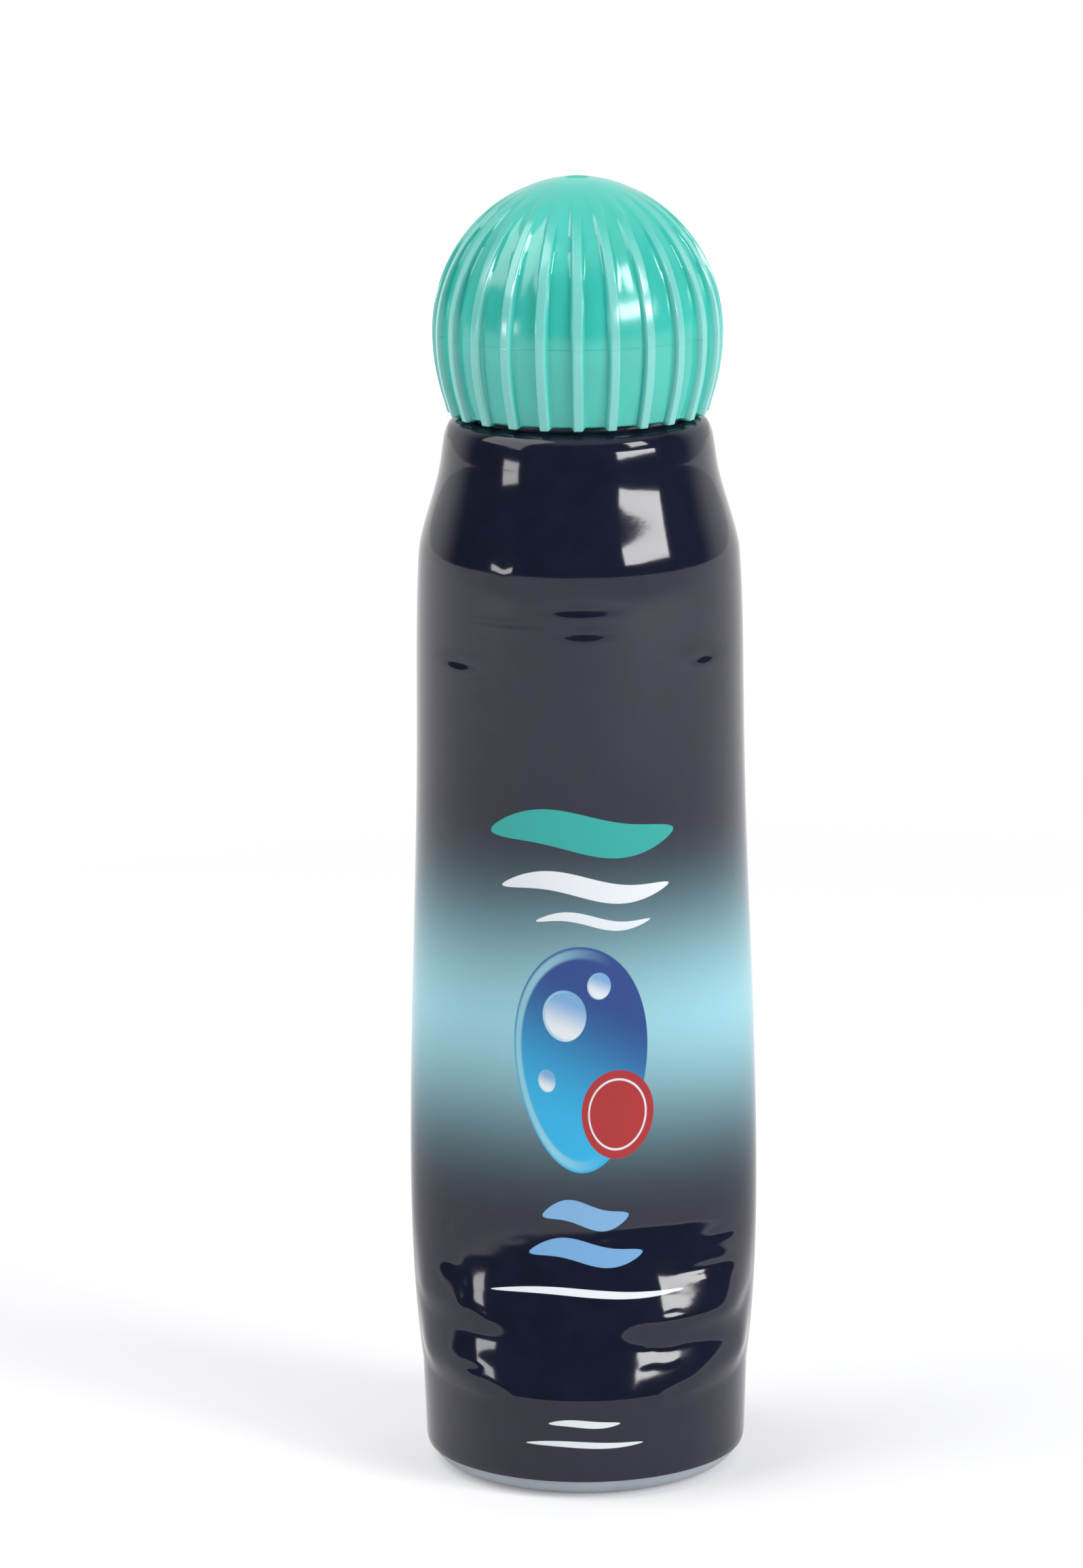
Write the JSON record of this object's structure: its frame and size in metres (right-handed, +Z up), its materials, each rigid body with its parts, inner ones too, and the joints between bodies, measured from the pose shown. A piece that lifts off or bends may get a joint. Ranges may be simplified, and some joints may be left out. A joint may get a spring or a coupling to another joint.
{
  "type": "envelope moistener",
  "caption": "Sleeved squeeze bottle with a sprung foam dab-on tip and valve under a ribbed ball-shaped screw cap, for wetting or gluing envelope flaps.",
  "frame": {"origin": "centre of the standing ring under the bottle, on the surface it stands on", "axes": "+Z up the bottle's axis through the cap, -Y towards the front of the printed sleeve"},
  "size_m": [0.0322, 0.0302, 0.1198],
  "materials": {
    "bottle_plastic": "satin pale blue-grey blow-moulded polyethylene",
    "sleeve_film": "glossy printed shrink film, navy fading to a pale cyan band",
    "plug_plastic": "natural white moulded polyethylene",
    "spring_wire": "drawn stainless wire",
    "carrier_plastic": "natural white moulded polypropylene",
    "seal_rubber": "soft black moulded rubber",
    "pad_foam": "open-cell cream foam",
    "pad_cloth": "fine white knitted nylon",
    "ring_plastic": "natural white moulded polypropylene",
    "cap_seal_foam": "white expanded polyethylene gasket",
    "cap_plastic": "glossy teal moulded polypropylene"
  },
  "bodies": {
    "bottle": {"bottle": "bottle_plastic", "shrink_sleeve": "sleeve_film", "valve_plug": "plug_plastic", "valve_spring": "spring_wire"},
    "applicator": {"pad_carrier": "carrier_plastic", "valve_seal": "seal_rubber", "seal_retainer": "carrier_plastic", "foam_pad": "pad_foam", "pad_cover": "pad_cloth", "cover_ring": "ring_plastic"},
    "cap_seal": {"cap_seal": "cap_seal_foam"},
    "cap": {"cap": "cap_plastic"}
  },
  "joints": [
    {"name": "tip_press", "type": "slide", "parent": "bottle", "child": "applicator", "axis": [0, 0, -1], "range_m": [0, 0.0025], "stiffness_N_per_m": 600, "springref_m": -0.001, "deforming": ["valve_spring"]},
    {"name": "cap_lift", "type": "slide", "parent": "bottle", "child": "cap_seal", "axis": [0, 0, 1], "range_m": [0, 0.03]},
    {"name": "cap_turn", "type": "hinge", "parent": "cap_seal", "child": "cap", "pos_m": [0, 0, 0.1052], "axis": [0, 0, 1], "range_deg": [0, 3600]}
  ],
  "couplings": [
    {"joint": "cap_lift", "follows": "cap_turn", "m_per_rad": 0.00047746}
  ]
}
